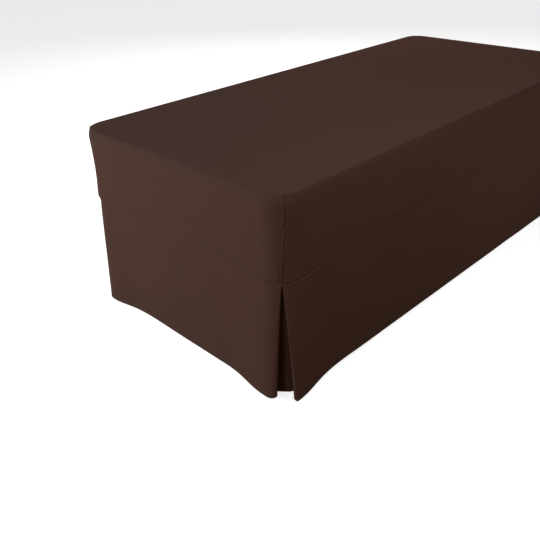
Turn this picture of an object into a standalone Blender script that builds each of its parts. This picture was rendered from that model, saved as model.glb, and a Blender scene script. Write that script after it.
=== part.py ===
"""A fitted valance sheet on a single mattress and a plain bed base.

The cloth is two pieces. The fitted sheet is one cut of cloth, drawn over the mattress and sewn up at its four
corners. The valance is one strip, sewn round the lower edge of the fitted sheet and hanging almost to the floor,
with an inverted box pleat at each corner of the bed.

Z is up, Y runs along the bed from its foot (-Y) to its head (+Y), and the origin is on the floor, under the
middle of the bed.
"""

import math
from collections import namedtuple

import bmesh
import bpy
from mathutils import Vector

# Driving dimensions, in metres.
BED_WIDTH = 0.906  # over the fitted sheet, on a 0.90 m mattress
BED_LENGTH = 1.906
TOP_Z = 0.646  # the sleeping surface
CORNER_RADIUS = 0.075  # of the mattress, seen from above
TOP_EDGE_IN = 0.014  # the top edge is a quarter of an ellipse, crisp above and slow below
TOP_EDGE_DOWN = 0.036

CLOTH = 0.0016  # thickness of both cloths
TOUCH_GAP = 0.0003  # between pieces that lie against each other
EDGE_GAP = 0.002  # between the drawn cloth and the mattress edges

SEAM_Z = 0.427  # where the valance is sewn on, along the middle of each side
SEAM_DIP = 0.032  # the weight of a pleat draws the seam down at the corner
SEAM_DIP_REACH = 0.38
HEM_Z = 0.025
HEM_DIP = 0.016
HEM_DIP_REACH = 0.26

LAYER = 0.0034  # from one layer of a pressed pleat to the next
PANEL_REACH = 0.34  # a pleat shapes the valance this far from the corner
OPENING_CURVE = 1.9  # above 1, a pleat opens faster below the seam than at the hem

MATTRESS_BOTTOM = 0.430
MATTRESS_EDGE_RADIUS = 0.020
BASE_INSET = 0.022  # the base stands in from the valance
BASE_RADIUS = 0.090
BASE_EDGE_RADIUS = 0.006

CLOTH_COLOUR = (0.064, 0.036, 0.028, 1.0)
TICKING_COLOUR = (0.80, 0.78, 0.73, 1.0)
BASE_COLOUR = (0.52, 0.50, 0.47, 1.0)

# Half of a corner pleat, from the flat of one side in to the nose of the corner. At the seam it is pressed: a
# distance round the corner from its nose, and a layer counted inwards. At the hem it hangs open: (along the side
# from the sharp corner, inwards from the side's face), for the pleat's tighter and looser halves.
Row = namedtuple("Row", "pressed layer tight loose")
PLEAT = (
    Row(PANEL_REACH, 0.0, (0.3561, 0.0000), (0.3561, 0.0000)),
    Row(0.270, 0.0, (0.2850, 0.0000), (0.2850, 0.0000)),
    Row(0.210, 0.0, (0.2240, 0.0005), (0.2230, 0.0000)),
    Row(0.160, 0.0, (0.1720, -0.0040), (0.1690, -0.0020)),
    Row(0.110, 0.0, (0.1230, -0.0105), (0.1180, -0.0100)),
    Row(0.060, 0.0, (0.0790, -0.0125), (0.0710, -0.0150)),
    Row(0.025, 0.0, (0.0545, -0.0110), (0.0430, -0.0185)),
    Row(0.0035, 0.0, (0.0455, -0.0075), (0.0335, -0.0178)),
    Row(0.0018, 0.5, (0.0425, -0.0015), (0.0285, -0.0120)),
    Row(0.0035, 1.0, (0.0440, 0.0060), (0.0310, -0.0040)),
    Row(0.016, 1.0, (0.0480, 0.0138), (0.0410, 0.0080)),
    Row(0.032, 1.0, (0.0570, 0.0178), (0.0560, 0.0178)),
    Row(0.052, 1.0, (0.0740, 0.0093), (0.0740, 0.0093)),
    Row(0.080, 1.0, (0.0990, 0.0040), (0.0990, 0.0040)),
    Row(0.105, 1.0, (0.1240, 0.0036), (0.1240, 0.0036)),
    Row(0.1067, 1.5, (0.1257, 0.0056), (0.1257, 0.0056)),
    Row(0.105, 2.0, (0.1240, 0.0076), (0.1240, 0.0076)),
    Row(0.080, 2.0, (0.1020, 0.0082), (0.1020, 0.0082)),
    Row(0.052, 2.0, (0.0780, 0.0126), (0.0780, 0.0126)),
    Row(0.026, 2.0, (0.0560, 0.0225), (0.0560, 0.0225)),
    Row(0.0, 2.0, (0.0373, 0.0373), (0.0373, 0.0373)),
)

# Each corner, in order round the bed: its signs in X and Y, and how far its pleat falls open.
Corner = namedtuple("Corner", "x_sign y_sign opening")
CORNERS = (
    Corner(1, -1, 1.0),
    Corner(1, 1, 0.8),
    Corner(-1, 1, 1.0),
    Corner(-1, -1, 0.8),
)

VALANCE_LEVELS = (0.0, 0.07, 0.17, 0.32, 0.54, 0.77, 1.0)  # shares of the drop, from seam to hem
TOP_EDGE_STEPS = 4
MATTRESS_CORNER_STEPS = 6
BASE_CORNER_STEPS = 6


def clear_scene():
    for obj in list(bpy.data.objects):
        bpy.data.objects.remove(obj, do_unlink=True)


def fabric(name, colour):
    material = bpy.data.materials.new(name)
    material.use_nodes = True
    shader = material.node_tree.nodes["Principled BSDF"]
    shader.inputs["Base Color"].default_value = colour
    shader.inputs["Roughness"].default_value = 0.9
    shader.inputs["Metallic"].default_value = 0.0
    return material


def fade(share):
    """Falls smoothly from 1 at the corner to 0 where share reaches 1."""
    t = min(max(share, 0.0), 1.0)
    return 1.0 - t * t * (3.0 - 2.0 * t)


def round_corner(distance, radius, inset):
    """(along, inward) of a point this far from the nose of a rounded corner, and set in from its outer line."""
    quarter = radius * math.pi / 4
    if distance >= quarter:
        return radius + distance - quarter, inset
    turn = math.pi / 4 - distance / radius
    return radius - (radius - inset) * math.sin(turn), radius - (radius - inset) * math.cos(turn)


def spline(points, t):
    """The point at t, counted in rows, on a smooth curve through the rows' points."""
    row = min(int(t), len(points) - 2)
    before, start, end, after = (
        points[min(max(row + step, 0), len(points) - 1)] for step in (-1, 0, 1, 2)
    )
    s = t - row
    return tuple(
        0.5
        * (
            2 * b
            + (c - a) * s
            + (2 * a - 5 * b + 4 * c - d) * s * s
            + (3 * b - a - 3 * c + d) * s ** 3
        )
        for a, b, c, d in zip(before, start, end, after)
    )


def corner_frame(corner):
    """The sharp corner in plan, and the ways from it along the side that comes in and the side that goes out."""
    point = Vector((corner.x_sign * BED_WIDTH / 2, corner.y_sign * BED_LENGTH / 2))
    side_x = Vector((-corner.x_sign, 0))
    side_y = Vector((0, -corner.y_sign))
    in_along_x = corner.x_sign * corner.y_sign < 0
    return point, (side_x, side_y) if in_along_x else (side_y, side_x)


def seam_height(distance):
    return SEAM_Z - SEAM_DIP * fade(distance / SEAM_DIP_REACH)


def hem_height(distance):
    return HEM_Z - HEM_DIP * fade(distance / HEM_DIP_REACH)


def pleat_steps(shape):
    """(distance from the nose, inset, hem along, hem inward) at each row of the pleat and halfway between rows."""
    rows = [(row.pressed, row.layer * LAYER, *getattr(row, shape)) for row in PLEAT]
    return [spline(rows, step / 2) for step in range(2 * len(rows) - 1)]


def valance_half(shape, opening, level):
    """Half of a corner's section at one level, from the flat panel to the nose: (along, inward, height)."""
    spread = opening * (1.0 - (1.0 - level) ** OPENING_CURVE)
    section = []
    for distance, inset, hem_along, hem_inward in pleat_steps(shape):
        along, inward = round_corner(distance, CORNER_RADIUS - CLOTH / 2, inset)
        along += (hem_along - along) * spread
        inward += (hem_inward - inward) * spread
        top = seam_height(distance) - TOUCH_GAP
        section.append((along, inward, top + (hem_height(distance) - top) * level))
    return section


def placed(corner, half, section):
    """Points of a half section in the bed's frame. Half 0 is on the side that comes in to the corner."""
    point, ways = corner_frame(corner)
    along_way, inward_way = ways[half], ways[1 - half]
    centre = point + (along_way + inward_way) * CLOTH / 2
    return [
        Vector((*(centre + along_way * along + inward_way * inward), height))
        for along, inward, height in section
    ]


def valance_ring(level):
    ring = []
    for corner in CORNERS:
        coming_in = valance_half("tight", corner.opening, level)
        going_out = valance_half("loose", corner.opening, level)
        ring += placed(corner, 0, coming_in)
        ring += placed(corner, 1, going_out)[-2::-1]
    return ring


def sheet_half(drop_share, lift):
    """Half of a corner of the fitted sheet, down its side by a share of the drop, or up over the top edge by a
    share of the quarter turn there."""
    turn = lift * math.pi / 2
    inset = TOP_EDGE_IN * (1.0 - math.cos(turn))
    edge_z = TOP_Z - TOP_EDGE_DOWN
    outer_layer = [distance for distance, inset, *_ in pleat_steps("tight") if inset <= 0.0]
    section = []
    for distance in [*outer_layer, 0.0]:
        along, inward = round_corner(distance, CORNER_RADIUS, inset)
        height = edge_z + TOP_EDGE_DOWN * math.sin(turn)
        height -= (edge_z - seam_height(distance)) * drop_share
        section.append((along, inward, height))
    return section


def sheet_ring(drop_share, lift):
    ring = []
    for corner in CORNERS:
        section = sheet_half(drop_share, lift)
        point, ways = corner_frame(corner)
        for half, points in ((0, section), (1, section[-2::-1])):
            for along, inward, height in points:
                plan = point + ways[half] * along + ways[1 - half] * inward
                ring.append(Vector((*plan, height)))
    return ring


def loft(name, rings, capped):
    """A surface through closed rings of points, facing out. Capped, its last ring is filled."""
    mesh = bpy.data.meshes.new(name)
    build = bmesh.new()
    rows = [[build.verts.new(point) for point in ring] for ring in rings]
    count = len(rings[0])
    for lower, upper in zip(rows, rows[1:]):
        for i in range(count):
            j = (i + 1) % count
            build.faces.new((lower[i], lower[j], upper[j], upper[i]))
    if capped:
        build.faces.new(rows[-1])
    build.to_mesh(mesh)
    build.free()
    mesh.shade_smooth()
    mesh.set_sharp_from_angle(angle=math.radians(35))
    return bpy.data.objects.new(name, mesh)


def thicken(obj, thickness, offset):
    solidify = obj.modifiers.new("cloth thickness", "SOLIDIFY")
    solidify.thickness = thickness
    solidify.offset = offset
    solidify.use_even_offset = True
    solidify.use_quality_normals = True


def rounded_block(name, size, bottom, corner_radius, corner_steps, edge_radius, edge_steps):
    """A block that stands on bottom, with its upright corners rounded, and then its top and bottom edges."""
    mesh = bpy.data.meshes.new(name)
    build = bmesh.new()
    bmesh.ops.create_cube(build, size=1.0)
    bmesh.ops.scale(build, verts=build.verts, vec=size)
    bmesh.ops.translate(build, verts=build.verts, vec=(0, 0, bottom + size[2] / 2))
    upright = [e for e in build.edges if abs(e.verts[0].co.z - e.verts[1].co.z) > size[2] / 2]
    bmesh.ops.bevel(
        build, geom=upright, offset=corner_radius, segments=corner_steps, profile=0.5, affect="EDGES"
    )
    level = [
        e
        for e in build.edges
        if abs(e.verts[0].co.z - e.verts[1].co.z) < edge_radius and len(e.link_faces) == 2
    ]
    bmesh.ops.bevel(build, geom=level, offset=edge_radius, segments=edge_steps, profile=0.5, affect="EDGES")
    build.to_mesh(mesh)
    build.free()
    mesh.shade_smooth()
    mesh.set_sharp_from_angle(angle=math.radians(35))
    return bpy.data.objects.new(name, mesh)


def make_fitted_sheet():
    side_rings = [sheet_ring(share, 0.0) for share in (1.0, 0.5, 0.0)]
    edge_rings = [sheet_ring(0.0, step / TOP_EDGE_STEPS) for step in range(1, TOP_EDGE_STEPS + 1)]
    sheet = loft("fitted_sheet", side_rings + edge_rings, capped=True)
    thicken(sheet, CLOTH, -1.0)
    return sheet


def make_valance():
    valance = loft("valance", [valance_ring(level) for level in reversed(VALANCE_LEVELS)], capped=False)
    thicken(valance, CLOTH, 0.0)
    return valance


def make_mattress():
    inset = CLOTH + EDGE_GAP
    top = TOP_Z - CLOTH - TOUCH_GAP
    size = (BED_WIDTH - 2 * inset, BED_LENGTH - 2 * inset, top - MATTRESS_BOTTOM)
    return rounded_block(
        "mattress",
        size,
        bottom=MATTRESS_BOTTOM,
        corner_radius=CORNER_RADIUS - inset,
        corner_steps=MATTRESS_CORNER_STEPS,
        edge_radius=MATTRESS_EDGE_RADIUS,
        edge_steps=3,
    )


def make_base():
    size = (
        BED_WIDTH - 2 * BASE_INSET,
        BED_LENGTH - 2 * BASE_INSET,
        MATTRESS_BOTTOM - TOUCH_GAP,
    )
    return rounded_block(
        "bed_base",
        size,
        bottom=0.0,
        corner_radius=BASE_RADIUS,
        corner_steps=BASE_CORNER_STEPS,
        edge_radius=BASE_EDGE_RADIUS,
        edge_steps=1,
    )


def main():
    clear_scene()
    collection = bpy.data.collections.new("fitted valance sheet on a bed")
    bpy.context.scene.collection.children.link(collection)
    cloth = fabric("valance cloth", CLOTH_COLOUR)
    for obj, material in (
        (make_fitted_sheet(), cloth),
        (make_valance(), cloth),
        (make_mattress(), fabric("mattress ticking", TICKING_COLOUR)),
        (make_base(), fabric("base fabric", BASE_COLOUR)),
    ):
        obj.data.materials.append(material)
        collection.objects.link(obj)


main()
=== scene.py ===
"""The looks of a fitted valance sheet on a single mattress and a plain bed base.

Two cloths are modelled here, each as one thin sheet of cloth on the form of its solid: the fitted sheet,
sewn up at its four corners, and the valance, a long strip with an inverted box pleat at each corner. The
mattress and the base keep the frame's own solids. Z is up, and Y runs along the bed from its foot (-Y) to
its head (+Y). Sizes are in metres.
"""

import math
from collections import namedtuple

import bpy
import numpy as np
from mathutils import Matrix, Vector, noise


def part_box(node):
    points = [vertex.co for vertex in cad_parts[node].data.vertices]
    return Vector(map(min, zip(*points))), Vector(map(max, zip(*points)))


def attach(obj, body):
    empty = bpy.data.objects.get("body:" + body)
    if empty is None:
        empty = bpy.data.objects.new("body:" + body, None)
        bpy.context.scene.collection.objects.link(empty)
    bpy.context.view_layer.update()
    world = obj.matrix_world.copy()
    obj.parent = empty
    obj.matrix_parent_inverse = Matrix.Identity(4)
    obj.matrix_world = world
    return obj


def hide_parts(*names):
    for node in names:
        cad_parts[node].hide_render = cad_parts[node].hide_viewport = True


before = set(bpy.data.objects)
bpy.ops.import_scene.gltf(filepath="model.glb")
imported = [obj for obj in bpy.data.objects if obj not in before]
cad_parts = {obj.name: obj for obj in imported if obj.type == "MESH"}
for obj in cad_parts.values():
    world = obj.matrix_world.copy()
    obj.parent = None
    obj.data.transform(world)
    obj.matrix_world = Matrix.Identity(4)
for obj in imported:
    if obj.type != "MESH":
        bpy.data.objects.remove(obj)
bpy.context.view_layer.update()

# Sizes that the frame gives.
SHEET_LOW, SHEET_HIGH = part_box("fitted_sheet")
VALANCE_LOW, VALANCE_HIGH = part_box("valance")
HALF_WIDTH, HALF_LENGTH, TOP_Z = SHEET_HIGH
SEAM_CORNER_Z = SHEET_LOW.z  # the seam between the two cloths, at a corner of the bed
SEAM_SIDE_Z = VALANCE_HIGH.z  # and along the middle of a side
HEM_CORNER_Z = VALANCE_LOW.z

# Sizes of the cloths' own form.
CORNER_RADIUS = 0.075
HALF_ARC = CORNER_RADIUS * math.pi / 4  # from a corner's nose to either end of its arc
SHARP_CORNER = CORNER_RADIUS - HALF_ARC  # along a side, this much more than the distance from the nose
EDGE_IN = 0.014  # the top edge is a quarter of an ellipse, crisp above and slow below
EDGE_DOWN = 0.036
EDGE_Z = TOP_Z - EDGE_DOWN
CLOTH = 0.0012
CLOTH_INSET = 0.0008  # from the solids' outer face to the middle of the cloth
SHARP_EDGE = math.radians(70)

# The valance's hem.
HEM_DIP = 0.016  # how far it dips towards a corner
HEM_DIP_REACH = 0.26
HEM_SAG = 0.0042  # away from the pleats, the turned hem hangs this far below the solid's
HEM_SAG_REACH = 0.10
DROP = SEAM_SIDE_Z - HEM_CORNER_Z - HEM_DIP
HEM_TOP = 0.0185  # height of the turned-up cloth above the hem
HEM_STITCH = 0.0155  # the line of stitches, above the hem
HEM_RELIEF = 0.0004  # how far the turned-up cloth stands out, and how deep the stitches lie in it
HEM_TURN = 0.0050  # radius at which the hem's folded edge turns in
STITCH_STEP = 0.0032
STITCH_SIZE = (0.0024, 0.00055, 0.0004)  # long, wide and high

# Half of a corner pleat, from the flat of one side in to the nose of the corner. At the seam it is
# pressed: a distance round the corner from its nose, and a layer counted inwards. At the hem it hangs
# open: (along the side from the sharp corner, inwards from the side's face), for the pleat's tighter and
# looser halves.
LAYER = 0.0034  # from one layer of a pressed pleat to the next
PANEL_REACH = 0.34  # a pleat shapes the valance this far from the corner
Row = namedtuple("Row", "pressed layer tight loose")
PLEAT = (
    Row(PANEL_REACH, 0.0, (0.3561, 0.0000), (0.3561, 0.0000)),
    Row(0.270, 0.0, (0.2850, 0.0000), (0.2850, 0.0000)),
    Row(0.210, 0.0, (0.2240, 0.0005), (0.2230, 0.0000)),
    Row(0.160, 0.0, (0.1720, -0.0040), (0.1690, -0.0020)),
    Row(0.110, 0.0, (0.1230, -0.0105), (0.1180, -0.0090)),
    Row(0.060, 0.0, (0.0790, -0.0125), (0.0710, -0.0160)),
    Row(0.025, 0.0, (0.0560, -0.0115), (0.0430, -0.0185)),
    Row(0.0035, 0.0, (0.0435, -0.0075), (0.0340, -0.0178)),
    Row(0.0018, 0.5, (0.0370, -0.0015), (0.0305, -0.0130)),
    Row(0.0035, 1.0, (0.0362, 0.0040), (0.0305, -0.0080)),
    Row(0.016, 1.0, (0.0440, 0.0115), (0.0400, 0.0015)),
    Row(0.032, 1.0, (0.0570, 0.0178), (0.0545, 0.0150)),
    Row(0.052, 1.0, (0.0740, 0.0093), (0.0740, 0.0093)),
    Row(0.080, 1.0, (0.0990, 0.0040), (0.0990, 0.0040)),
    Row(0.105, 1.0, (0.1240, 0.0036), (0.1240, 0.0036)),
    Row(0.1067, 1.5, (0.1257, 0.0056), (0.1257, 0.0056)),
    Row(0.105, 2.0, (0.1240, 0.0076), (0.1240, 0.0076)),
    Row(0.080, 2.0, (0.1020, 0.0082), (0.1020, 0.0082)),
    Row(0.052, 2.0, (0.0780, 0.0126), (0.0780, 0.0126)),
    Row(0.026, 2.0, (0.0560, 0.0225), (0.0510, 0.0200)),
    Row(0.0, 2.0, (0.0373, 0.0373), (0.0373, 0.0373)),
)
ROW_SPLIT = 4  # columns of mesh for each row of the table

# Near its fold the cloth stays creased well down the panel, and opens only by the hem. These are those
# rows' places at the hem if the crease held all the way: row, (along, inward) for the tighter and the
# looser half.
CREASE = {
    5: ((0.0780, -0.0128), (0.0710, -0.0158)),
    6: ((0.0530, -0.0120), (0.0440, -0.0170)),
    7: ((0.0345, -0.0050), (0.0330, -0.0158)),
    8: ((0.0312, -0.0002), (0.0308, -0.0125)),
    9: ((0.0310, 0.0030), (0.0308, -0.0090)),
    10: ((0.0385, 0.0095), (0.0370, -0.0040)),
    11: ((0.0570, 0.0150), (0.0520, 0.0080)),
}
CREASE_HOLD = 3.5  # how late the crease gives way, as a power of the level

# How far the hem is drawn up by the fold: row, tighter and looser half.
LIFT = {
    7: (0.0022, 0.0004),
    8: (0.0040, 0.0020),
    9: (0.0035, 0.0020),
    18: (0.0, 0.0010),
    19: (0.0, 0.0030),
}
INSERT_LIFT = 0.003  # and the whole insert hangs this much shorter, besides

# How early a pleat's panels part as they go down, as powers: the tighter half, the looser half, and the
# insert behind them.
PARTING = (1.5, 1.1, 1.3)

# How the seam between the two cloths climbs from a corner: shares of its rise, each between two
# distances.
CLIMB_LATE = ((0.12, 0.0, 0.035), (0.28, 0.02, 0.15), (0.60, 0.11, 0.36))
CLIMB_EARLY = ((0.62, 0.0, 0.19), (0.38, 0.20, 0.41))
CLIMB_EVEN = ((1.0, 0.0, 0.38),)

# Each corner, in order round the bed: its signs in X and Y, how far its pleat falls open, and how far its
# sewn seam wanders from the nose at the seam's top. Then, for the side that comes in and the side that
# goes out, how much of a lip the valance stands up in under its seam, how far the seam is drawn in, and
# how that seam climbs.
Corner = namedtuple("Corner", "x_sign y_sign opening wander lips tucks climbs")
CORNERS = (
    Corner(1, -1, 1.0, 0.0085, (0.0, 1.0), (1.0, 0.15), (CLIMB_EARLY, CLIMB_LATE)),
    Corner(1, 1, 0.8, -0.0050, (0.7, 0.3), (0.4, 0.8), (CLIMB_EVEN, CLIMB_EARLY)),
    Corner(-1, 1, 1.0, 0.0060, (0.2, 0.8), (1.0, 0.3), (CLIMB_EVEN, CLIMB_LATE)),
    Corner(-1, -1, 0.8, -0.0070, (0.6, 0.0), (0.5, 1.0), (CLIMB_LATE, CLIMB_EARLY)),
)


def smooth(value):
    """0 up to 0, 1 from 1, and smooth between."""
    t = np.clip(value, 0.0, 1.0)
    return t * t * (3.0 - 2.0 * t)


def fade(value, near, far):
    """1 up to near, 0 from far, and smooth between."""
    return smooth((far - value) / (far - near))


def bump(value, centre, width):
    """1 at the centre, falling to 0 like a bell."""
    return np.exp(-(((value - centre) / width) ** 2))


# Something that runs beside a seam: how far it stands out, how far from the seam its middle lies, and its
# width.
Feature = namedtuple("Feature", "size place width")


def across(feature, place):
    """How far a feature stands out, at places counted from its seam."""
    return feature.size * bump(place, feature.place, feature.width)


# Unevenness: how fast it varies along each axis (0 is not at all), the size of its patches, and a seed.
Grain = namedtuple("Grain", "rates size seed")


def uneven(grain, points):
    """Smooth noise of that grain, about -1 to 1, at an array of points."""
    seed = grain.seed
    flat = (points * grain.rates).reshape(-1, 3) / grain.size
    values = [noise.noise(Vector((x + seed, y - seed, z))) for x, y, z in flat]
    return np.array(values).reshape(points.shape[:-1])


# A strength that comes and goes: its mean, how far it swings, its least and most, and its grain.
Strength = namedtuple("Strength", "mean swing least most grain")


def strength_at(strength, points):
    """The values of a strength at an array of points."""
    wanted = strength.mean + strength.swing * uneven(strength.grain, points)
    return np.clip(wanted, strength.least, strength.most)


def noise_place(reach, height, layer):
    """Where a corner's cloth lies in the noise. Each corner has a layer of its own."""
    return np.stack([reach, height, np.full_like(reach, layer)], axis=-1)


# ---- round a corner ----


def ways(corner):
    """The sharp corner in plan, and the ways from it along the side that comes in and the side that goes
    out."""
    point = np.array([corner.x_sign * HALF_WIDTH, corner.y_sign * HALF_LENGTH])
    side_x = np.array([-corner.x_sign, 0.0])
    side_y = np.array([0.0, -corner.y_sign])
    return (point, side_x, side_y) if corner.x_sign * corner.y_sign < 0 else (point, side_y, side_x)


def middle_distance(way):
    """From a corner's nose, round it and along that way, to the middle of the side."""
    half_side = HALF_WIDTH if way[0] else HALF_LENGTH
    return half_side - SHARP_CORNER


def round_corner(corner, reach, inset):
    """Points in plan, set in from the outer line of a rounded corner. Reach is the distance from its
    nose, below 0 on the side that comes in."""
    point, way_in, way_out = ways(corner)
    centre = point + CORNER_RADIUS * (way_in + way_out)
    turn = np.clip(math.pi / 4 + reach / CORNER_RADIUS, 0.0, math.pi / 2)
    radius = CORNER_RADIUS - inset
    before = np.maximum(-reach - HALF_ARC, 0.0)
    after = np.maximum(reach - HALF_ARC, 0.0)
    return (
        centre
        + (before - radius * np.sin(turn))[..., None] * way_in
        + (after - radius * np.cos(turn))[..., None] * way_out
    )


# ---- the seam between the two cloths ----

SEAM_IN = 0.0019  # how far it is drawn in, which is also the deepest that a corner's sewn seam goes
SWELL = 0.0035  # and how far the fitted sheet stands out just above it
SWELL_REACH = 0.016
SWELL_END = 0.116
TUCK_START = 0.012  # it isn't drawn in at a corner's nose, and is in full from this distance
TUCK_FADE = (0.35, 0.60)  # where each side's own tuck gives way to the mean of the two
TUCK_MOST = 0.6  # and the most that this mean may be
LINE_FADE = (0.12, 0.32)  # the seam's plain line is clear near a corner, and less so along the side
LINE_LEAST = 0.25

# The lip that the valance stands up in: how it builds up from the corner, where it is full, and how it
# fades.
LIP_RUN_UP = 0.105
LIP_FULL = (0.105, 0.140)
LIP_RUN_OUT = 0.080
LIP = Feature(0.0042, 0.0040, 0.0036)
LIP_CREASE = (0.0010, 0.0010)  # depth and reach of the crease between the lip and the seam
SEAM_LINE = Feature(0.0005, 0.0012, 0.0012)  # the fine line along the rest of the seam

# The same seam on the fitted sheet: creases under the lip and under the plain line, and a soft roll above
# the lip.
SHEET_LIP_CREASE = 0.0007
SHEET_LINE_CREASE = 0.0004
SHEET_CREASE_REACH = 0.0018
SHEET_ROLL = Feature(0.0008, 0.0080, 0.0050)

# Little uneven bits on both cloths, placed by their distance from a corner.
FLECKS = Feature(0.0010, 0.045, 0.040)
FLECK_REACH = 0.005  # from the seam
FLECK_GRAIN = Grain((1.0, 1.0, 1.0), 0.0055, 3.3)


def climbed(steps, distance):
    """The share of the seam's rise that it has climbed at a distance from a corner's nose."""
    return sum(share * smooth((distance - near) / (far - near)) for share, near, far in steps)


def seam_height(corner, distance, outgoing):
    """The height of the seam between the two cloths, at distances from the corner's nose."""
    rise = np.where(outgoing, climbed(corner.climbs[1], distance), climbed(corner.climbs[0], distance))
    return SEAM_CORNER_Z + (SEAM_SIDE_Z - SEAM_CORNER_Z) * rise


def seam_pull(corner, distance, outgoing):
    """How much the two cloths pucker into a lip and a crease at their seam, how much the seam is drawn
    in, and how clear its plain line is, each from 0 to 1."""
    run = np.where(distance < LIP_FULL[0], LIP_RUN_UP, LIP_RUN_OUT)
    full = np.clip(distance, *LIP_FULL)
    lip = np.where(outgoing, corner.lips[1], corner.lips[0]) * bump(distance, full, run)
    mean = min(sum(corner.tucks) / 2, TUCK_MOST)
    own = np.where(outgoing, corner.tucks[1], corner.tucks[0])
    tuck = mean + (own - mean) * fade(distance, *TUCK_FADE)
    drawn = tuck * (1.0 - lip) * smooth(distance / TUCK_START)
    line = LINE_LEAST + (1.0 - LINE_LEAST) * fade(distance, *LINE_FADE)
    return lip, drawn, line


def seam_flecks(place, distance, from_seam):
    """How far the little bits of thread and pucker beside the seam stand out."""
    return across(FLECKS, distance) * uneven(FLECK_GRAIN, place) * np.exp(-from_seam / FLECK_REACH)


# ---- meshes ----


def new_object(name, points, faces):
    """A smooth-shaded object of that mesh, in the scene."""
    mesh = bpy.data.meshes.new(name)
    mesh.from_pydata(points, [], faces)
    mesh.shade_smooth()
    obj = bpy.data.objects.new(name, mesh)
    bpy.context.scene.collection.objects.link(obj)
    return obj


def ring_mesh(name, grid, uv_left, uv_right):
    """A mesh through rows of points that run round the bed. uv_left and uv_right are the cloth's own
    coordinates, in metres, at the left and right ends of each face's rows."""
    rows, columns = grid.shape[:2]
    index = np.arange(rows * columns).reshape(rows, columns)
    following = np.roll(index, -1, axis=1)
    faces = np.stack([index[:-1], following[:-1], following[1:], index[1:]], axis=-1).reshape(-1, 4)
    corners = np.stack([uv_left[:-1], uv_right[:-1], uv_right[1:], uv_left[1:]], axis=2).reshape(-1, 2)
    obj = new_object(name, grid.reshape(-1, 3).tolist(), faces.tolist())
    layer = obj.data.uv_layers.new(name="cloth")
    layer.data.foreach_set("uv", corners.astype(np.float32).ravel())
    return obj


def thicken(obj):
    """Applies an object's modifiers and gives its cloth its thickness, with crisp cut edges."""
    solidify = obj.modifiers.new("cloth thickness", "SOLIDIFY")
    solidify.thickness = CLOTH
    solidify.offset = 0.0
    solidify.use_even_offset = False
    thin = obj.data
    obj.data = bpy.data.meshes.new_from_object(obj.evaluated_get(bpy.context.evaluated_depsgraph_get()))
    obj.modifiers.clear()
    bpy.data.meshes.remove(thin)
    obj.data.shade_smooth()
    obj.data.set_sharp_from_angle(angle=SHARP_EDGE)


# ---- the fitted sheet ----

# Distances from a corner's nose at which the sheet has a column of mesh, on each side of it: closest by
# the sewn seam, close round the corner, and wider beyond.
BY_SEAM = (
    0.0005, 0.0010, 0.0015, 0.0021, 0.0028, 0.0036, 0.0046,
    0.0058, 0.0072, 0.009, 0.011, 0.0135, 0.0165,
)
ROUND_CORNER = (
    0.020, 0.024, 0.029, 0.035, 0.042, 0.050, HALF_ARC,
    0.070, 0.083, 0.098, 0.115, 0.134, 0.155,
)
PAST_CORNER = (0.180, 0.208, 0.240, 0.275, 0.312, 0.350)
SIDE_STEP = 0.040

# Its rows of mesh: shares of the way up from the seam to the top edge, angles round that edge, and shares
# of the way in from the edge to the middle of the top.
UP_SIDE = (
    *(0.0, 0.004, 0.008, 0.013, 0.019, 0.026, 0.035),
    *np.linspace(0.045, 0.58, 30),
    *np.linspace(0.59, 1.0, 42),
)
ROUND_EDGE = np.linspace(0.0, 1.0, 17)[1:] * math.pi / 2
OVER_TOP = (0.004, 0.012, 0.025, 0.045, 0.075, *np.linspace(0.12, 1.0, 12))
SPINE_WELD = 0.00005  # the two halves of the top meet along its middle, and are joined within this

# The sewn seam of a corner is gathered above this height, and gathered in full this much higher.
GATHERED_FROM = 0.528
GATHERED_FADE = 0.030
WANDER_REACH = 0.05  # the cloth shifts sideways with the seam, this far from it
WANDER_RATE = 1.15  # and has shifted in full a little below the top

# Its fine raised edge and the groove beside it, which are fainter where it is gathered, and the soft ridge
# that they lie on, which gives way to a crest there.
SEAM_EDGE = Feature(0.0012, -0.0004, 0.0010)
SEAM_GROOVE = Feature(-0.0012, 0.0020, 0.0011)
SEAM_STRENGTH = Strength(1.0, 1.5, 0.1, 2.2, Grain((0.2, 1.0, 1.0), 0.0060, 1.7))
EDGE_LOST = 0.9  # the shares of the edge and of the groove that are lost there
GROOVE_LOST = 0.5
RIDGE = 0.0022
RIDGE_REACH = 0.012
CREST = 0.0034
CREST_REACH = (0.018, 0.030)  # away from the groove, and on its side

# Where it is gathered, hollows come and go beside it, from this height up, on a line that wobbles.
HOLLOW = Feature(-0.0036, 0.0018, 0.0019)
HOLLOW_FROM = 0.550
HOLLOW_FADE = 0.012
HOLLOW_STRENGTH = Strength(0.35, 2.4, 0.0, 1.5, Grain((0.5, 1.0, 1.0), 0.0036, 6.4))
WOBBLE = 0.0014
WOBBLE_GRAIN = Grain((0.0, 1.0, 1.0), 0.0075, 2.6)

NIB = Feature(0.0080, -0.0025, 0.0030)  # the end of the seam, that stands up at the top edge
NIB_Z = 0.6425
NIB_HEIGHT = 0.0025

# Puckers in the cloth beside the seam, larger gathers where it is gathered, and faint upright streaks on
# both sides of it.
PUCKERS = Feature(0.0010, 0.0030, 0.0090)
PUCKER_GRAIN = Grain((1.0, 0.35, 1.0), 0.0045, 8.8)
GATHERS = Feature(0.0026, 0.0030, 0.0042)
GATHER_GRAIN = Grain((1.0, 0.8, 1.0), 0.0048, 4.1)
STREAKS = Feature(0.0005, 0.022, 0.022)
STREAK_GRAIN = Grain((1.0, 0.12, 1.0), 0.0070, 5.2)
LEFT_AT_TOP = 0.25  # the share of all this that is left where the top edge meets the top

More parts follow.
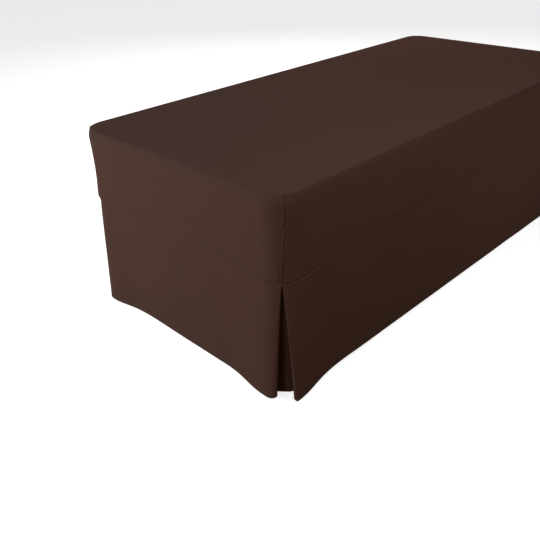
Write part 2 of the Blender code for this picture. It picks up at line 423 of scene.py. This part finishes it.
# The long shallow hollow in each side, next to a corner: its depth, how it fades away from the nose, and
# over what distances it deepens from the top edge and from the seam.
SIDE_HOLLOW = 0.0018
SIDE_HOLLOW_FADE = (0.055, 0.155)
SIDE_HOLLOW_TOP = 0.050
SIDE_HOLLOW_FOOT = 0.070


def half_reaches(way):
    """Distances from the nose at which a half corner has its columns, up to the middle of that side."""
    near = [*BY_SEAM, *ROUND_CORNER, *PAST_CORNER]
    middle = middle_distance(way)
    steps = max(2, round((middle - near[-1]) / SIDE_STEP))
    return np.concatenate([near, np.linspace(near[-1], middle, steps + 1)[1:]])


def corner_reaches(corner):
    """Signed distances from the nose for all columns of a corner. The middle of the side that goes out is
    left to the next corner."""
    _, way_in, way_out = ways(corner)
    return np.concatenate([-half_reaches(way_in)[::-1], [0.0], half_reaches(way_out)[:-1]])


def seam_wander(corner, reach, height):
    """How far the cloth is shifted along the sides, so that the corner's sewn seam wanders from the
    nose."""
    rise = (height - SEAM_CORNER_Z) / (TOP_Z - SEAM_CORNER_Z)
    return corner.wander * smooth(rise * WANDER_RATE) * bump(reach, 0.0, WANDER_REACH)


def corner_seam_relief(corner, reach, height):
    """How far the fitted sheet stands out near a corner's sewn seam: a fine raised edge with a groove
    beside it on a soft ridge, and above them gathers on a crest, with broken hollows beside it."""
    beside = reach * math.copysign(1.0, corner.wander)
    distance = np.abs(reach)
    place = noise_place(reach, height, corner.x_sign * 3.1 + corner.y_sign)
    gathered = smooth((height - GATHERED_FROM) / GATHERED_FADE)
    drawn = strength_at(SEAM_STRENGTH, place)
    edge = across(SEAM_EDGE, beside) * (1.0 - EDGE_LOST * gathered) * drawn
    groove = across(SEAM_GROOVE, beside) * (1.0 - GROOVE_LOST * gathered) * drawn
    ridge = RIDGE * (1.0 - gathered) * np.exp(-distance / RIDGE_REACH)
    crest = CREST * gathered * np.exp(-distance / np.where(beside > 0, CREST_REACH[1], CREST_REACH[0]))
    wobble = WOBBLE * uneven(WOBBLE_GRAIN, place)
    hollow = across(HOLLOW, beside - wobble) * strength_at(HOLLOW_STRENGTH, place)
    hollow = hollow * smooth((height - HOLLOW_FROM) / HOLLOW_FADE)
    nib = across(NIB, beside) * bump(height, NIB_Z, NIB_HEIGHT)
    puckers = across(PUCKERS, beside) * uneven(PUCKER_GRAIN, place)
    gathers = across(GATHERS, beside) * uneven(GATHER_GRAIN, place) * gathered
    streaks = across(STREAKS, distance) * uneven(STREAK_GRAIN, place)
    out = edge + groove + ridge + crest + hollow + nib + puckers + gathers + streaks
    return np.maximum(out, -SEAM_IN)


def side_relief(corner, reach, height, above_seam):
    """How far the side of the fitted sheet stands out: drawn in to its lower seam, with a long hollow by
    a corner."""
    distance = np.abs(reach)
    lip, drawn, line = seam_pull(corner, distance, reach > 0)
    swell = (SEAM_IN + SWELL) * np.clip(above_seam / SWELL_REACH, 0.0, 1.0) - SEAM_IN
    tuck = drawn * swell * fade(above_seam, SWELL_REACH, SWELL_END)
    crease = SHEET_LINE_CREASE * line + SHEET_LIP_CREASE * lip
    crease = crease * np.exp(-above_seam / SHEET_CREASE_REACH)
    roll = lip * across(SHEET_ROLL, above_seam)
    between = smooth((EDGE_Z - height) / SIDE_HOLLOW_TOP) * smooth(above_seam / SIDE_HOLLOW_FOOT)
    hollow = SIDE_HOLLOW * fade(distance, *SIDE_HOLLOW_FADE) * between
    place = noise_place(reach, height, corner.y_sign * 2.3 + corner.x_sign)
    return tuck - crease + roll - hollow + seam_flecks(place, distance, above_seam)


def sheet_row(corner, reach, height, inset):
    """A row of the sheet's points at those heights and insets."""
    plan = round_corner(corner, reach + seam_wander(corner, reach, height), inset)
    return np.concatenate([plan, height[:, None]], axis=1)


def sheet_side(corner, reach):
    """Rows of points up a corner's sides and round the top edge, and how far down from that edge each row
    lies in the cut cloth, below 0 on the top."""
    seam_z = seam_height(corner, np.abs(reach), reach > 0)
    rows, downs = [], []
    for share in UP_SIDE:
        height = seam_z + (EDGE_Z - seam_z) * share
        out = corner_seam_relief(corner, reach, height)
        out = out + side_relief(corner, reach, height, height - seam_z)
        rows.append(sheet_row(corner, reach, height, CLOTH_INSET - out))
        downs.append(EDGE_Z - height)
    for turn in ROUND_EDGE:
        height = np.full_like(reach, EDGE_Z + (EDGE_DOWN - CLOTH_INSET) * math.sin(turn))
        left = LEFT_AT_TOP + (1.0 - LEFT_AT_TOP) * math.cos(turn)
        out = corner_seam_relief(corner, reach, height) * left
        inset = CLOTH_INSET * math.cos(turn) + EDGE_IN * (1.0 - math.cos(turn))
        rows.append(sheet_row(corner, reach, height, inset - out))
        downs.append(np.full_like(reach, -inset))
    return rows, downs


def sheet_top(rim):
    """Rows of points from the rim of the top in to its spine, a line along the middle of the bed."""
    spine = rim.copy()
    spine[:, 0] = 0.0
    spine[:, 1] = np.clip(rim[:, 1], HALF_WIDTH - HALF_LENGTH, HALF_LENGTH - HALF_WIDTH)
    return [rim + (spine - rim) * share for share in OVER_TOP]


def cut_side(corner, reach, down, outgoing):
    """Where points of one side of a corner lie in the cut cloth. Points of its other side are put at the
    nose."""
    point, way_in, way_out = ways(corner)
    way, other = (way_out, way_in) if outgoing else (way_in, way_out)
    on_side = np.sign(reach) == (1 if outgoing else -1)
    along = SHARP_CORNER + np.where(on_side, np.abs(reach), 0.0)
    return point + along[:, None] * way - down[:, None] * other


def cut_place(corner, reach, down, outgoing):
    """The same, where each point has its own side."""
    coming_in = cut_side(corner, reach, down, False)
    going_out = cut_side(corner, reach, down, True)
    return np.where(outgoing[:, None], going_out, coming_in)


def make_fitted_sheet():
    """The fitted sheet: its sides, the top edge and the top, corner by corner."""
    grids, lefts, rights = [], [], []
    for corner in CORNERS:
        reach = corner_reaches(corner)
        following = np.append(reach[1:], middle_distance(ways(corner)[2]))
        outgoing = reach + following > 0
        side, downs = sheet_side(corner, reach)
        top = sheet_top(side[-1])
        top_cut = [row[:, :2] for row in top]
        grids.append(np.stack([*side, *top]))
        left_cut = [cut_place(corner, reach, down, outgoing) for down in downs]
        right_cut = [cut_place(corner, following, down, outgoing) for down in downs]
        lefts.append(np.stack([*left_cut, *top_cut]))
        rights.append(np.stack([*right_cut, *top_cut]))
    grid, left, right = (np.concatenate(parts, axis=1) for parts in (grids, lefts, rights))
    right[-len(OVER_TOP) :] = np.roll(left[-len(OVER_TOP) :], -1, axis=1)
    sheet = ring_mesh("fitted_sheet_cloth", grid, left, right)
    weld = sheet.modifiers.new("close the spine", "WELD")
    weld.merge_threshold = SPINE_WELD
    thicken(sheet)
    return sheet


# ---- the valance ----

# Its rows of mesh: distances below the seam, evenly spaced rows from BODY_FROM below the seam to BODY_TO
# above the hem, distances above the hem, and then shares of the radius at which the hem's edge turns in.
BELOW_SEAM = (0.0, 0.0006, 0.0012, 0.0019, 0.0027, 0.0037, 0.0050, 0.0068, 0.0092, 0.013, 0.019)
BODY_FROM = 0.029
BODY_TO = 0.026
BODY_ROWS = 32
ABOVE_HEM = (0.0205, HEM_TOP, 0.017, HEM_STITCH, 0.0138, 0.008)
ROUND_HEM = (1.2, 0.75, 0.45, 0.22, 0.07, 0.0)

OUTER_FACE = 0.25  # of a layer: the valance's relief ends where its cloth has turned in this far
VALANCE_TUCK_REACH = 0.030  # below the seam, where the cloth hangs freely again
WAVES = 0.0016
WAVE_POWER = 1.5  # of the level: the waves grow towards the hem
WAVE_GRAIN = Grain((1.0, 1.0, 0.25), 0.17, 9.4)
HEM_STEP = 0.003  # over which the turned-up cloth comes to stand out
STITCH_GROOVE = 0.0011


def cubic_through(values, split):
    """A smooth curve through rows of values, with split points for each row. Its knots are spaced by the
    square root of the distance between rows, which keeps it from swinging wide at a tight fold."""
    values = np.asarray(values, float)
    steps = np.sqrt(np.linalg.norm(np.diff(values[:, 2:], axis=0), axis=1)) + 1e-6
    count = len(values)
    system = np.eye(count)
    target = np.zeros_like(values)
    for i in range(1, count - 1):
        system[i, i - 1 : i + 2] = steps[i - 1], 2 * (steps[i - 1] + steps[i]), steps[i]
        slope_before = (values[i] - values[i - 1]) / steps[i - 1]
        slope_after = (values[i + 1] - values[i]) / steps[i]
        target[i] = 6 * (slope_after - slope_before)
    bend = np.linalg.solve(system, target)
    points = []
    for i in range(count - 1):
        for share in np.arange(split) / split:
            a, b = 1.0 - share, share
            points.append(
                a * values[i]
                + b * values[i + 1]
                + ((a**3 - a) * bend[i] + (b**3 - b) * bend[i + 1]) * steps[i] ** 2 / 6
            )
    return np.array([*points, values[-1]])


def pleat_half(outgoing):
    """Columns of half a pleat, from the panel in to the nose: distance, inset, the hem's place along and
    inward, the same two where the crease holds, and how far the hem is drawn up. The half that goes out
    is the looser."""
    opened = [(row.pressed, row.layer * LAYER, *(row.tight, row.loose)[outgoing]) for row in PLEAT]
    creased = list(opened)
    for index, places in CREASE.items():
        creased[index] = (*opened[index][:2], *places[outgoing])
    creased_hem = cubic_through(creased, ROW_SPLIT)[:, 2:]
    curve = np.concatenate([cubic_through(opened, ROW_SPLIT), creased_hem], axis=1)
    curve[:, 0] = np.maximum(curve[:, 0], 0.0)
    rows = range(len(PLEAT))
    lifts = [LIFT.get(row, (0.0, 0.0))[outgoing] for row in rows]
    lift = np.interp(np.arange(len(curve)) / ROW_SPLIT, rows, lifts)
    return np.concatenate([curve, lift[:, None]], axis=1)


def panel_columns(way):
    """Columns of the plain panel between the middle of a side and its pleat, in the same terms."""
    middle = middle_distance(way)
    steps = max(2, round((middle - PANEL_REACH) / SIDE_STEP))
    distance = np.linspace(middle, PANEL_REACH, steps + 1)[:-1]
    along = SHARP_CORNER + distance
    none = np.zeros_like(distance)
    return np.stack([distance, none, along, none, along, none, none], axis=1)


def valance_columns():
    """For each half corner in order round the bed: the corner, its columns, and whether it is going
    out."""
    halves = []
    for corner in CORNERS:
        _, way_in, way_out = ways(corner)
        coming = np.concatenate([panel_columns(way_in), pleat_half(False)])
        going = np.concatenate([panel_columns(way_out), pleat_half(True)])[::-1]
        halves += [(corner, coming, False), (corner, going[1:-1], True)]
    return halves


def valance_levels():
    """The levels of the valance's rows, from its seam (0) to its hem (1)."""
    body = np.linspace(BODY_FROM, DROP - BODY_TO, BODY_ROWS)
    hem = DROP - np.array(ABOVE_HEM)
    turn = DROP - HEM_TURN * np.array(ROUND_HEM)
    return np.concatenate([BELOW_SEAM, body, hem, turn]) / DROP


def hem_height(distance):
    """The height of the hem, at distances from the corner's nose."""
    dip = HEM_DIP * smooth(distance / HEM_DIP_REACH)
    return HEM_CORNER_Z + dip - HEM_SAG * smooth(distance / HEM_SAG_REACH)


def valance_section(corner, columns, outgoing, level):
    """Points of one half of a corner, at one level."""
    point, way_in, way_out = ways(corner)
    way, other = (way_out, way_in) if outgoing else (way_in, way_out)
    distance, inset, hem_along, hem_inward, crease_along, crease_inward, lift = columns.T
    reach = distance if outgoing else -distance
    opened = level**CREASE_HOLD
    hem_along = crease_along + (hem_along - crease_along) * opened
    hem_inward = crease_inward + (hem_inward - crease_inward) * opened
    pressed = round_corner(corner, reach, inset + CLOTH_INSET)
    hem = point + (CLOTH_INSET + hem_along)[:, None] * way + (CLOTH_INSET + hem_inward)[:, None] * other
    parting = PARTING[outgoing] + (PARTING[2] - PARTING[outgoing]) * smooth(inset / LAYER - 1.0)
    spread = corner.opening * (1.0 - (1.0 - level) ** parting)
    plan = pressed + (hem - pressed) * spread[:, None]
    top = seam_height(corner, distance, outgoing)
    bottom = hem_height(distance) + INSERT_LIFT * smooth(inset / LAYER) + lift
    height = top + (bottom - top) * level
    return np.concatenate([plan, height[:, None]], axis=1)


def outward(ring):
    """The way a ring of points faces, in plan."""
    step = np.roll(ring, -1, axis=0) - np.roll(ring, 1, axis=0)
    normal = np.stack([step[:, 1], -step[:, 0]], axis=1)
    return normal / np.linalg.norm(normal, axis=1)[:, None]


def hem_relief(above_hem):
    """How far the turned-up hem stands out, with its stitches drawn in and its folded edge turned in."""
    doubled = HEM_RELIEF * smooth((HEM_TOP - above_hem) / HEM_STEP)
    stitched = HEM_RELIEF * bump(above_hem, HEM_STITCH, STITCH_GROOVE)
    turned = max(HEM_TURN - above_hem, 0.0)
    return doubled - stitched - (HEM_TURN - math.sqrt(HEM_TURN**2 - turned**2))


def valance_ring(halves, level):
    """The valance's ring of points at one level, with its seam's lip, its soft waves and its stitched
    hem."""
    ring = np.concatenate([valance_section(c, columns, going, level) for c, columns, going in halves])
    distance = np.concatenate([columns[:, 0] for _, columns, _ in halves])
    layer = np.concatenate([columns[:, 1] for _, columns, _ in halves]) / LAYER
    pulls = [seam_pull(c, columns[:, 0], going) for c, columns, going in halves]
    lip, drawn, line = (np.concatenate(parts) for parts in zip(*pulls))
    below = level * DROP
    crease_depth, crease_reach = LIP_CREASE
    seam = lip * (across(LIP, below) - crease_depth * math.exp(-below / crease_reach))
    seam += line * across(SEAM_LINE, below)
    tuck = SEAM_IN * drawn * math.exp(-below / VALANCE_TUCK_REACH)
    waves = WAVES * level**WAVE_POWER * uneven(WAVE_GRAIN, ring)
    out = (seam - tuck + seam_flecks(ring, distance, below) + waves) * fade(layer, 0.0, OUTER_FACE)
    out = out + hem_relief(DROP - below)
    ring[:, :2] += outward(ring[:, :2]) * out[:, None]
    return ring


def make_valance(halves):
    """The valance, as one closed strip."""
    levels = valance_levels()
    grid = np.stack([valance_ring(halves, level) for level in levels])
    middle = grid[len(grid) // 2]
    steps = np.linalg.norm(np.roll(middle, -1, axis=0) - middle, axis=1)
    run_end = np.cumsum(steps)
    down = np.repeat(-levels[:, None] * DROP, len(steps), axis=1)
    left = np.stack([np.broadcast_to(run_end - steps, down.shape), down], axis=-1)
    right = np.stack([np.broadcast_to(run_end, down.shape), down], axis=-1)
    valance = ring_mesh("valance_cloth", grid, left, right)
    thicken(valance)
    return valance


def make_hem_stitches(halves):
    """A running line of small stitches round the hem, on its outer face."""
    ring = valance_ring(halves, 1.0 - HEM_STITCH / DROP)
    ring[:, :2] += outward(ring[:, :2]) * (CLOTH / 2)
    closed = np.concatenate([ring, ring[:1]])
    run = np.concatenate([[0.0], np.cumsum(np.linalg.norm(np.diff(closed, axis=0), axis=1))])
    count = int(run[-1] / STITCH_STEP)
    at = np.arange(count) * run[-1] / count
    look_ahead = STITCH_STEP / 8
    centre, ahead = (
        np.stack([np.interp(place, run, closed[:, axis]) for axis in range(3)], axis=1)
        for place in (at, at + look_ahead)
    )
    along = ahead - centre
    along /= np.linalg.norm(along, axis=1)[:, None]
    out = np.stack([along[:, 1], -along[:, 0], np.zeros(count)], axis=1)
    up = np.cross(out, along)
    long, wide, high = (size / 2 for size in STITCH_SIZE)
    offsets = [along * long, up * wide, -along * long, -up * wide, out * high, -out * high]
    points = np.stack([centre + offset for offset in offsets], axis=1)
    rim = [(0, 1), (1, 2), (2, 3), (3, 0)]
    shape = [face for a, b in rim for face in ((a, b, 4), (b, a, 5))]
    faces = (np.array(shape)[None] + 6 * np.arange(count)[:, None, None]).reshape(-1, 3)
    return new_object("hem_stitches", points.reshape(-1, 3).tolist(), faces.tolist())


# ---- materials ----

CLOTH_COLOUR = (0.0513, 0.0236, 0.0168)
CLOTH_THREAD = 0.0006
SLUB_SCALE = (40.0, 900.0, 1.0)  # slubs are about 25 mm long, along the cloth, and 1 mm wide
SPECULAR = 0.15
TICKING_COLOUR = (0.80, 0.78, 0.73)
QUILT_PITCH = 0.09
BASE_COLOUR = (0.52, 0.50, 0.47)


def new_material(name, colour, roughness):
    """A plain material, with its node tree and its shader."""
    material = bpy.data.materials.new(name)
    material.use_nodes = True
    shader = material.node_tree.nodes["Principled BSDF"]
    shader.inputs["Base Color"].default_value = (*colour, 1.0)
    shader.inputs["Roughness"].default_value = roughness
    shader.inputs["Specular IOR Level"].default_value = SPECULAR
    return material, material.node_tree, shader


def node(tree, kind, **settings):
    """A new node with those settings."""
    made = tree.nodes.new(kind)
    for name, value in settings.items():
        setattr(made, name, value)
    return made


def math_node(tree, operation, a, b=None):
    """The output of a new maths node, from two sockets or values."""
    made = node(tree, "ShaderNodeMath", operation=operation)
    for socket, value in zip(made.inputs, (a, b)):
        if isinstance(value, bpy.types.NodeSocket):
            tree.links.new(value, socket)
        elif value is not None:
            socket.default_value = value
    return made.outputs[0]


def weighed_sum(tree, a, share_a, b, share_b):
    """The output of new nodes that add up those shares of two sockets."""
    parts = math_node(tree, "MULTIPLY", a, share_a), math_node(tree, "MULTIPLY", b, share_b)
    return math_node(tree, "ADD", *parts)


def noise_node(tree, place, scale, detail):
    """The output of a new noise texture at that place."""
    made = node(tree, "ShaderNodeTexNoise")
    made.inputs["Scale"].default_value = scale
    made.inputs["Detail"].default_value = detail
    tree.links.new(place, made.inputs["Vector"])
    return made.outputs[0]


def tint(tree, shader, colour, value, value_range, shade_range):
    """Shades the material's colour by a value, which runs over one range for shades that run over
    another."""
    shade = node(tree, "ShaderNodeMapRange")
    limits = ("From Min", "From Max", "To Min", "To Max")
    for name, limit in zip(limits, (*value_range, *shade_range)):
        shade.inputs[name].default_value = limit
    tree.links.new(value, shade.inputs[0])
    tinted = node(tree, "ShaderNodeVectorMath", operation="SCALE")
    tinted.inputs[0].default_value = colour
    tree.links.new(shade.outputs[0], tinted.inputs["Scale"])
    tree.links.new(tinted.outputs[0], shader.inputs["Base Color"])


def emboss(tree, shader, height, strength, distance):
    """Gives the material a fine relief."""
    relief = node(tree, "ShaderNodeBump")
    relief.inputs["Strength"].default_value = strength
    relief.inputs["Distance"].default_value = distance
    tree.links.new(height, relief.inputs["Height"])
    tree.links.new(relief.outputs[0], shader.inputs["Normal"])


def woven_cloth(name, colour, thread):
    """A plain weave with threads of that width, in metres, on the cloth's own coordinates. Slubs, which
    are longer and thicker lengths of thread, and soft patches of shade make it uneven."""
    material, tree, shader = new_material(name, colour, roughness=0.9)
    place = node(tree, "ShaderNodeUVMap", uv_map="cloth").outputs[0]
    split = node(tree, "ShaderNodeSeparateXYZ")
    tree.links.new(place, split.inputs[0])
    across_cloth = math_node(tree, "SINE", math_node(tree, "MULTIPLY", split.outputs[0], math.pi / thread))
    down_cloth = math_node(tree, "SINE", math_node(tree, "MULTIPLY", split.outputs[1], math.pi / thread))
    weave = math_node(tree, "MULTIPLY", across_cloth, down_cloth)

    slub_place = node(tree, "ShaderNodeMapping")
    slub_place.inputs["Scale"].default_value = SLUB_SCALE
    tree.links.new(place, slub_place.inputs[0])
    slubs = noise_node(tree, slub_place.outputs[0], scale=1.0, detail=3.0)
    coordinates = node(tree, "ShaderNodeTexCoord").outputs["Object"]
    patches = noise_node(tree, coordinates, scale=9.0, detail=4.0)

    mottle = weighed_sum(tree, patches, 0.6, slubs, 0.4)
    tint(tree, shader, colour, mottle, value_range=(0.25, 0.75), shade_range=(0.94, 1.06))
    threads = weighed_sum(tree, weave, 0.6, slubs, 0.8)
    emboss(tree, shader, threads, strength=0.35, distance=thread * 0.4)
    shader.inputs["Sheen Weight"].default_value = 0.02
    shader.inputs["Sheen Roughness"].default_value = 0.5
    return material


def quilted_ticking(name, colour):
    """Mattress ticking, with a soft diamond quilt whose sunken lines carry painted shade."""
    material, tree, shader = new_material(name, colour, roughness=0.85)
    coordinates = node(tree, "ShaderNodeTexCoord").outputs["Object"]
    waves = []
    for angle in (math.radians(45), math.radians(-45)):
        turned = node(tree, "ShaderNodeMapping")
        turned.inputs["Rotation"].default_value = (0.0, 0.0, angle)
        tree.links.new(coordinates, turned.inputs[0])
        split = node(tree, "ShaderNodeSeparateXYZ")
        tree.links.new(turned.outputs[0], split.inputs[0])
        wave = math_node(tree, "SINE", math_node(tree, "MULTIPLY", split.outputs[0], math.pi / QUILT_PITCH))
        waves.append(math_node(tree, "ABSOLUTE", wave))
    quilt = math_node(tree, "POWER", math_node(tree, "MULTIPLY", *waves), 0.4)
    emboss(tree, shader, quilt, strength=0.6, distance=0.006)
    # Painted shade: the quilt's sunken lines are painted up to 14% darker, as shade in its hollows.
    tint(tree, shader, colour, quilt, value_range=(0.0, 1.0), shade_range=(0.86, 1.0))
    return material


def upholstery(name, colour):
    """The base's plain upholstery, with a coarse grain of threads."""
    material, tree, shader = new_material(name, colour, roughness=0.92)
    coordinates = node(tree, "ShaderNodeTexCoord").outputs["Object"]
    threads = noise_node(tree, coordinates, scale=420.0, detail=2.0)
    tint(tree, shader, colour, threads, value_range=(0.3, 0.7), shade_range=(0.82, 1.1))
    emboss(tree, shader, threads, strength=0.5, distance=0.0006)
    return material


def dress(obj, material):
    """Gives an object that material alone."""
    obj.data.materials.clear()
    obj.data.materials.append(material)


# ---- the studio ----

CAMERA_FROM_CORNER = Vector((0.979, -0.996))  # in plan, from the sharp corner at the foot of the bed
CAMERA_HEIGHT = 1.276
CAMERA_HEADING = 135.72  # degrees, counted from +X
CAMERA_PITCH = 30.30  # below the horizon
CAMERA_ROLL = -2.05
CAMERA_LENS = 42.9  # in mm, as is the sensor
CAMERA_SENSOR = 36.0

STUDIO_REACH = 14.0
FLOOR_Z = -0.0005
BOUNCE_Z = -0.0015
WALL_FROM = -0.1
WALL_TO = 12.0
BACKDROP_COLOUR = (0.45, 0.45, 0.45)
BACKDROP_GLOW = 0.82
STUDIO_ROUGHNESS = 0.95
BOUNCE_COLOUR = (0.50, 0.28, 0.115)
SKY = 0.008

# The key light comes low from the left of the pleated corner that faces the camera, and misses the long
# side. The last three stand low by the head and the sides, and hardly reach what the photograph shows.
CORNER = Vector((HALF_WIDTH, -HALF_LENGTH, 0.35))
NEAR_SIDE = CORNER + Vector((0.0, 0.25, 0.0))
TOP = Vector((0.2, -0.5, TOP_Z))
HEAD = Vector((0.0, HALF_LENGTH, 0.34))
LONG_SIDE = Vector((HALF_WIDTH, 0.9, 0.34))
FAR_SIDE = Vector((-HALF_WIDTH, 0.0, 0.34))
Light = namedtuple("Light", "target way size power colour glossy")
LIGHTS = {
    "key": Light(CORNER, (-2.35, -2.35, 0.71), (1.8, 1.2), 84.5, (0.91, 1.00, 1.09), True),
    "foot": Light(CORNER, (-0.08, -2.36, 1.10), (1.4, 1.0), 30.5, (0.98, 1.015, 1.01), True),
    "side": Light(NEAR_SIDE, (1.04, 0.15, 1.34), (1.0, 1.0), 17.0, (1.01, 1.005, 0.98), True),
    "back_top": Light(TOP, (-2.35, 2.75, 2.35), (2.0, 2.0), 133.0, (1.13, 0.965, 0.905), False),
    "head": Light(HEAD, (0.0, 1.8, 0.0), (0.86, 0.5), 21.0, (0.92, 1.0, 1.08), False),
    "long_side": Light(LONG_SIDE, (0.9, -0.45, 0.0), (0.7, 0.5), 3.0, (0.92, 1.0, 1.08), False),
    "far_side": Light(FAR_SIDE, (-1.8, 0.0, 0.0), (1.8, 0.5), 22.0, (0.92, 1.0, 1.08), False),
}


def make_camera():
    """The camera, where the photograph was taken from."""
    data = bpy.data.cameras.new("camera")
    data.lens = CAMERA_LENS
    data.sensor_width = CAMERA_SENSOR
    camera = bpy.data.objects.new("camera", data)
    bpy.context.scene.collection.objects.link(camera)
    place = Vector((HALF_WIDTH, -HALF_LENGTH)) + CAMERA_FROM_CORNER
    camera.matrix_world = (
        Matrix.Translation((*place, CAMERA_HEIGHT))
        @ Matrix.Rotation(math.radians(CAMERA_HEADING - 90.0), 4, "Z")
        @ Matrix.Rotation(math.radians(90.0 - CAMERA_PITCH), 4, "X")
        @ Matrix.Rotation(math.radians(CAMERA_ROLL), 4, "Z")
    )
    bpy.context.scene.camera = camera


def studio_piece(name, heights, faces, material):
    """A plane or a wall of the studio: its four corners at each of those heights, and faces between
    them."""
    corners = [(x * STUDIO_REACH, y * STUDIO_REACH) for x, y in ((-1, -1), (1, -1), (1, 1), (-1, 1))]
    mesh = bpy.data.meshes.new(name)
    mesh.from_pydata([(*corner, z) for z in heights for corner in corners], [], faces)
    piece = bpy.data.objects.new(name, mesh)
    bpy.context.scene.collection.objects.link(piece)
    dress(piece, material)
    return piece


def make_floor():
    """A near-white studio floor and wall. Only the camera sees them: what light comes back up from the
    floor is left to a darker plane just under it, so that the cloth keeps its shading down to the hem."""
    backdrop, _, shader = new_material("studio_floor", BACKDROP_COLOUR, STUDIO_ROUGHNESS)
    shader.inputs["Emission Color"].default_value = (1.0, 1.0, 1.0, 1.0)
    shader.inputs["Emission Strength"].default_value = BACKDROP_GLOW
    bounce, _, _ = new_material("floor_bounce", BOUNCE_COLOUR, STUDIO_ROUGHNESS)
    flat = [(0, 1, 2, 3)]
    sides = [(i, (i + 1) % 4, (i + 1) % 4 + 4, i + 4) for i in range(4)]
    floor = studio_piece("studio_floor", [FLOOR_Z], flat, backdrop)
    wall = studio_piece("studio_wall", [WALL_FROM, WALL_TO], sides, backdrop)
    for piece in (floor, wall):
        piece.visible_diffuse = False
        piece.visible_glossy = False
        piece.visible_shadow = False
    under = studio_piece("floor_bounce", [BOUNCE_Z], flat, bounce)
    under.visible_camera = False


def area_light(name, light):
    """A soft light that stands the given way from its target and faces it."""
    data = bpy.data.lights.new(name, "AREA")
    data.shape = "RECTANGLE"
    data.size, data.size_y = light.size
    data.energy = light.power
    data.color = light.colour
    obj = bpy.data.objects.new(name, data)
    obj.location = light.target + Vector(light.way)
    obj.rotation_euler = (-Vector(light.way)).to_track_quat("-Z", "Y").to_euler()
    obj.visible_glossy = light.glossy
    bpy.context.scene.collection.objects.link(obj)


def make_light():
    """The soft lights, in a nearly black room."""
    world = bpy.data.worlds.new("studio")
    world.use_nodes = True
    background = world.node_tree.nodes["Background"]
    background.inputs["Color"].default_value = (1.0, 1.0, 1.0, 1.0)
    background.inputs["Strength"].default_value = SKY
    bpy.context.scene.world = world
    for name, light in LIGHTS.items():
        area_light(name, light)


def main():
    """Makes every piece, dresses it and attaches it to its body, and sets the studio round them."""
    sheet = make_fitted_sheet()
    halves = valance_columns()
    valance = make_valance(halves)
    stitches = make_hem_stitches(halves)
    cloth = woven_cloth("chocolate_polycotton", CLOTH_COLOUR, CLOTH_THREAD)
    for piece in (sheet, valance, stitches):
        dress(piece, cloth)
        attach(piece, "root")
    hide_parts("fitted_sheet")
    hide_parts("valance")
    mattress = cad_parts["mattress"]
    bed_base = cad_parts["bed_base"]
    dress(mattress, quilted_ticking("ticking", TICKING_COLOUR))
    dress(bed_base, upholstery("base_fabric", BASE_COLOUR))
    make_floor()
    make_light()
    make_camera()
    bpy.context.scene.view_settings.view_transform = "Standard"


main()
